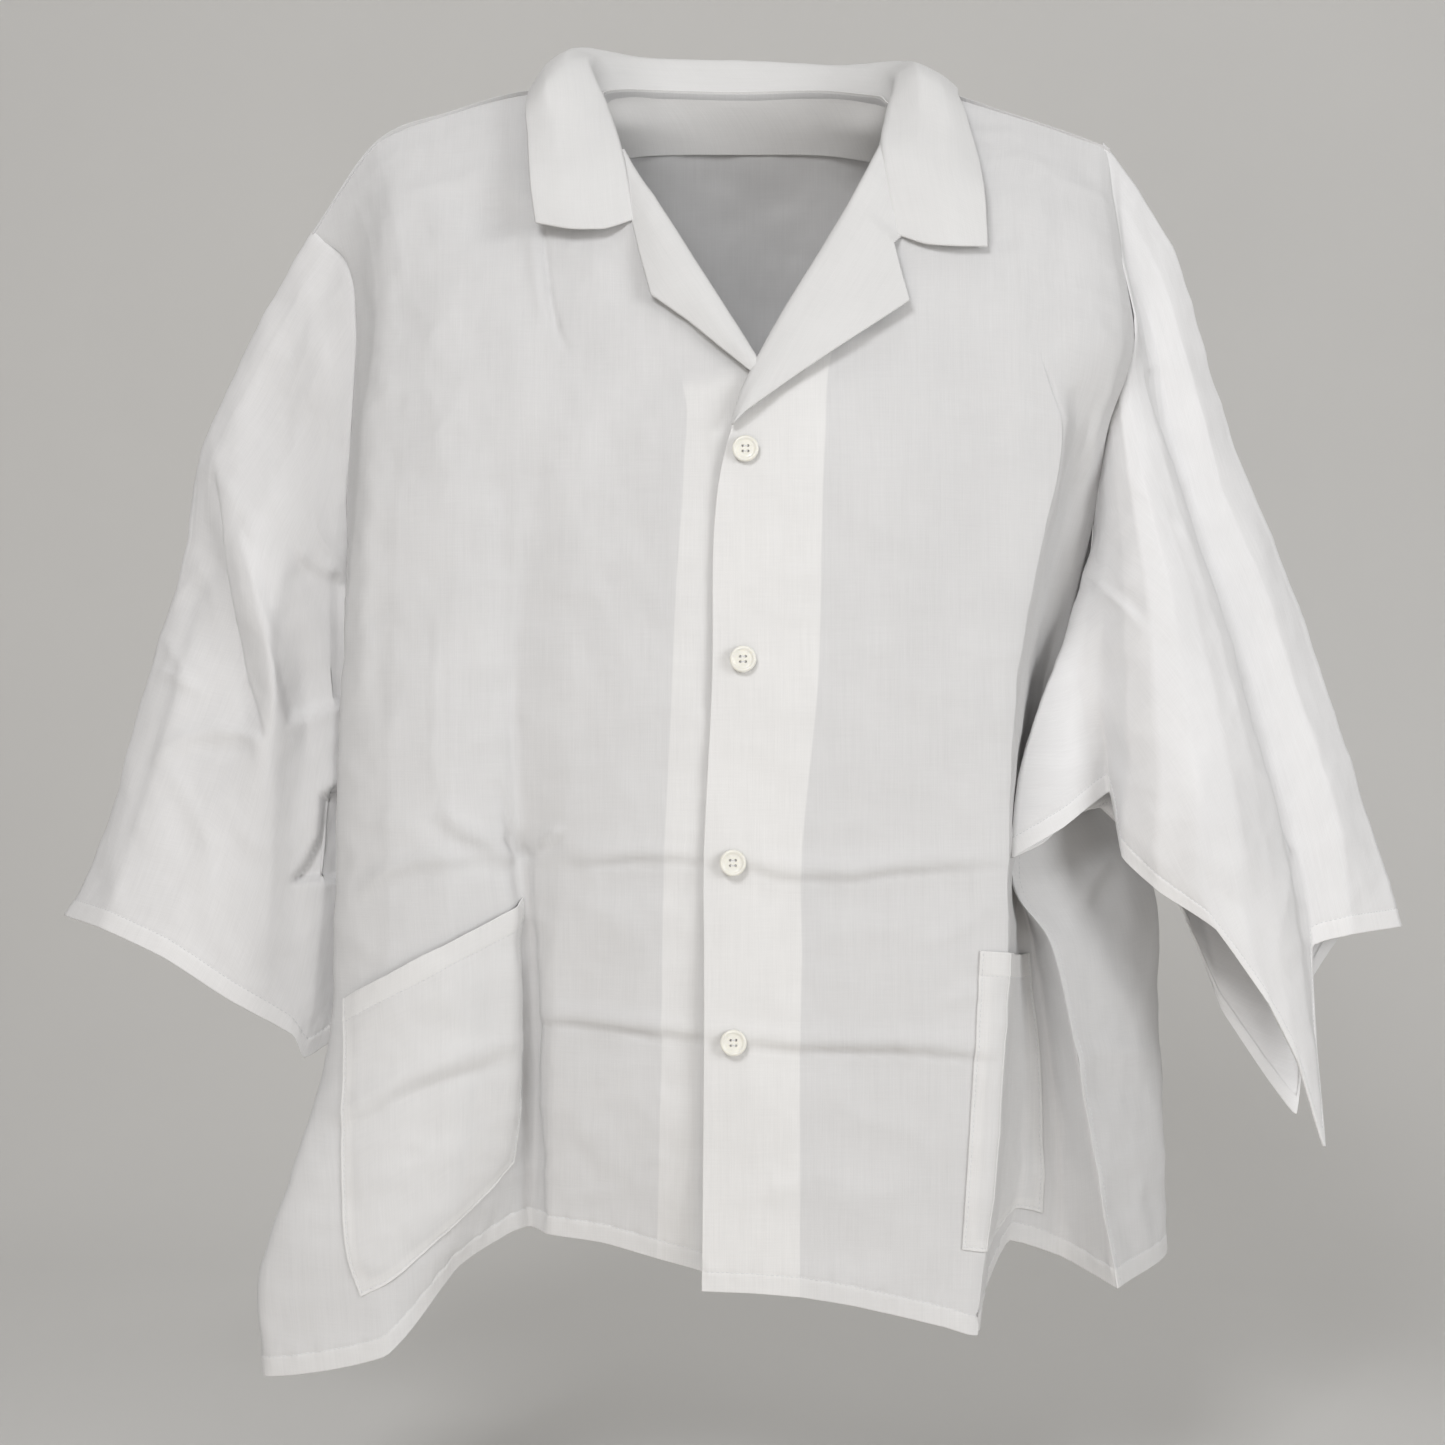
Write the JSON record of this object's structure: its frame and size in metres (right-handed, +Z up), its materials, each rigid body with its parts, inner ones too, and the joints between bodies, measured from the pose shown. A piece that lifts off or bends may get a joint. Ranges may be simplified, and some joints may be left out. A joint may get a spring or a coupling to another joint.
{
  "type": "lab coat",
  "caption": "Short white lab coat with wide sleeves, notched collar, button front and patch pockets, hanging as worn and partly creased.",
  "frame": {"origin": "nape: middle of the back neck seam line, on the inner face of the back neck facing", "axes": "+X towards the wearer's left, -Y to the front, +Z up, as the coat hangs"},
  "size_m": [0.8821, 0.2248, 0.8403],
  "materials": {
    "body_cloth": "plain-weave cotton blend, matt, lightly creased, single layer",
    "facing_cloth": "plain-weave cotton blend, matt",
    "collar_cloth": "plain-weave cotton blend, matt, pressed double layer with edge stitching",
    "pocket_cloth": "plain-weave cotton blend, matt, stitched edges",
    "interlining": "bonded non-woven stiffener",
    "button_ivory": "moulded four-hole button, soft gloss",
    "sewing_thread": "spun polyester thread"
  },
  "bodies": {
    "torso": {"back_panel": "body_cloth", "front_panel_right": "body_cloth", "front_left_side": "body_cloth", "facing_right": "facing_cloth", "interlining_right": "interlining", "back_neck_facing": "facing_cloth", "collar_stand": "collar_cloth", "upper_collar_back": "collar_cloth", "under_collar_back": "collar_cloth", "pocket_left": "pocket_cloth", "pocket_right": "pocket_cloth", "button_thread_1": "sewing_thread", "button_thread_2": "sewing_thread", "button_thread_3": "sewing_thread", "button_thread_4": "sewing_thread"},
    "left_front": {"front_panel_left": "body_cloth", "facing_left": "facing_cloth", "interlining_left": "interlining", "lapel_left": "collar_cloth", "pocket_left_edge": "pocket_cloth", "buttonhole_1": "sewing_thread", "buttonhole_2": "sewing_thread", "buttonhole_3": "sewing_thread", "buttonhole_4": "sewing_thread"},
    "right_sleeve": {"sleeve_right": "body_cloth"},
    "left_sleeve": {"sleeve_left": "body_cloth"},
    "right_collar_leaf": {"upper_collar_leaf_right": "collar_cloth", "under_collar_leaf_right": "collar_cloth"},
    "left_collar_leaf": {"upper_collar_leaf_left": "collar_cloth", "under_collar_leaf_left": "collar_cloth"},
    "right_lapel": {"lapel_right": "collar_cloth"},
    "button_1": {"button_1": "button_ivory"},
    "button_2": {"button_2": "button_ivory"},
    "button_3": {"button_3": "button_ivory"},
    "button_4": {"button_4": "button_ivory"}
  },
  "joints": [
    {"name": "left_front_open", "type": "hinge", "parent": "torso", "child": "left_front", "pos_m": [0.14679, -0.1556, -0.77214], "axis": [0.0827, 0.0073, 0.9966], "range_deg": [0, 40]},
    {"name": "right_sleeve_raise", "type": "hinge", "parent": "torso", "child": "right_sleeve", "pos_m": [-0.26958, -0.0466, -0.08525], "axis": [0, 1, 0], "range_deg": [0, 45]},
    {"name": "left_sleeve_raise", "type": "hinge", "parent": "torso", "child": "left_sleeve", "pos_m": [0.23553, -0.0466, -0.03371], "axis": [0, -1, 0], "range_deg": [0, 45]},
    {"name": "right_collar_leaf_lift", "type": "hinge", "parent": "torso", "child": "right_collar_leaf", "pos_m": [-0.06715, -0.1306, -0.08024], "axis": [-0.2282, 0.5449, 0.8069], "range_deg": [0, 35]},
    {"name": "left_collar_leaf_lift", "type": "hinge", "parent": "torso", "child": "left_collar_leaf", "pos_m": [0.09963, -0.0666, 0.00811], "axis": [-0.0981, -0.5733, -0.8135], "range_deg": [0, 35]},
    {"name": "right_lapel_lift", "type": "hinge", "parent": "torso", "child": "right_lapel", "pos_m": [0.00923, -0.1646, -0.18292], "axis": [-0.4986, 0.3424, 0.7963], "range_deg": [0, 45]},
    {"name": "button_1_tilt", "type": "hinge", "parent": "torso", "child": "button_1", "pos_m": [0.0022, -0.17226, -0.237], "axis": [1, 0, 0], "range_deg": [-8, 8]},
    {"name": "button_2_tilt", "type": "hinge", "parent": "torso", "child": "button_2", "pos_m": [0.0007, -0.1768, -0.3633], "axis": [1, 0, 0], "range_deg": [-8, 8]},
    {"name": "button_3_tilt", "type": "hinge", "parent": "torso", "child": "button_3", "pos_m": [-0.0053, -0.17404, -0.4853], "axis": [1, 0, 0], "range_deg": [-8, 8]},
    {"name": "button_4_tilt", "type": "hinge", "parent": "torso", "child": "button_4", "pos_m": [-0.005, -0.16987, -0.5935], "axis": [1, 0, 0], "range_deg": [-8, 8]}
  ]
}
